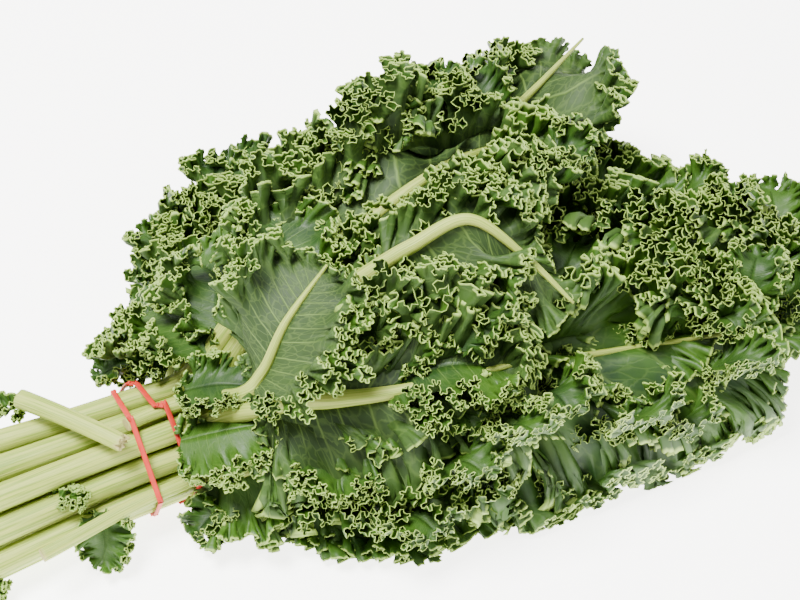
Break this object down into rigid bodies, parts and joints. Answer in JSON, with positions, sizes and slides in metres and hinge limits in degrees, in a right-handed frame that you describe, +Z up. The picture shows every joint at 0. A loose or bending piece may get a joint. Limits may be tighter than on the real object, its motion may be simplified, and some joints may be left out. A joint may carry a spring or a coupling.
{
  "type": "bunch of curly kale",
  "caption": "Bunch of curly kale lying on its side: frilled green leaves with pale stalks, held together by a red rubber band wound twice round the stalks",
  "frame": {"origin": "middle of the bunch's box in plan, at the height of the surface that it lies on", "axes": "+X along the bunch, from the cut ends of the stalks to the leaf tips; +Z up from the surface; +Y across, to the left when looking from the cut ends to the tips"},
  "size_m": [0.4507, 0.2314, 0.1331],
  "materials": {
    "leaf": "waxy matt leaf, mid green above and grey-green beneath, with pale yellow-green frilled edges and pale ribs",
    "stalk": "pale yellow-green ridged stalk with whitish and greener streaks, a moist tan cut face",
    "rubber_band": "matt red rubber, slightly dusty"
  },
  "bodies": {
    "root": {"leaf_floor_right": "leaf", "leaf_floor_left": "leaf", "leaf_floor_middle": "leaf", "leaf_back_low": "leaf", "leaf_low_right": "leaf", "leaf_low_left": "leaf", "leaf_middle": "leaf", "leaf_side_right": "leaf", "leaf_far_right": "leaf", "leaf_side_left": "leaf", "leaf_upper_right": "leaf", "leaf_upper_left": "leaf", "leaf_crown": "leaf", "leaf_near_right": "leaf", "leaf_top_left": "leaf", "leaf_arched": "leaf", "leaf_young_top": "leaf", "leaf_young_side": "leaf", "rubber_band": "rubber_band", "cut_stalk": "stalk"}
  },
  "joints": []
}
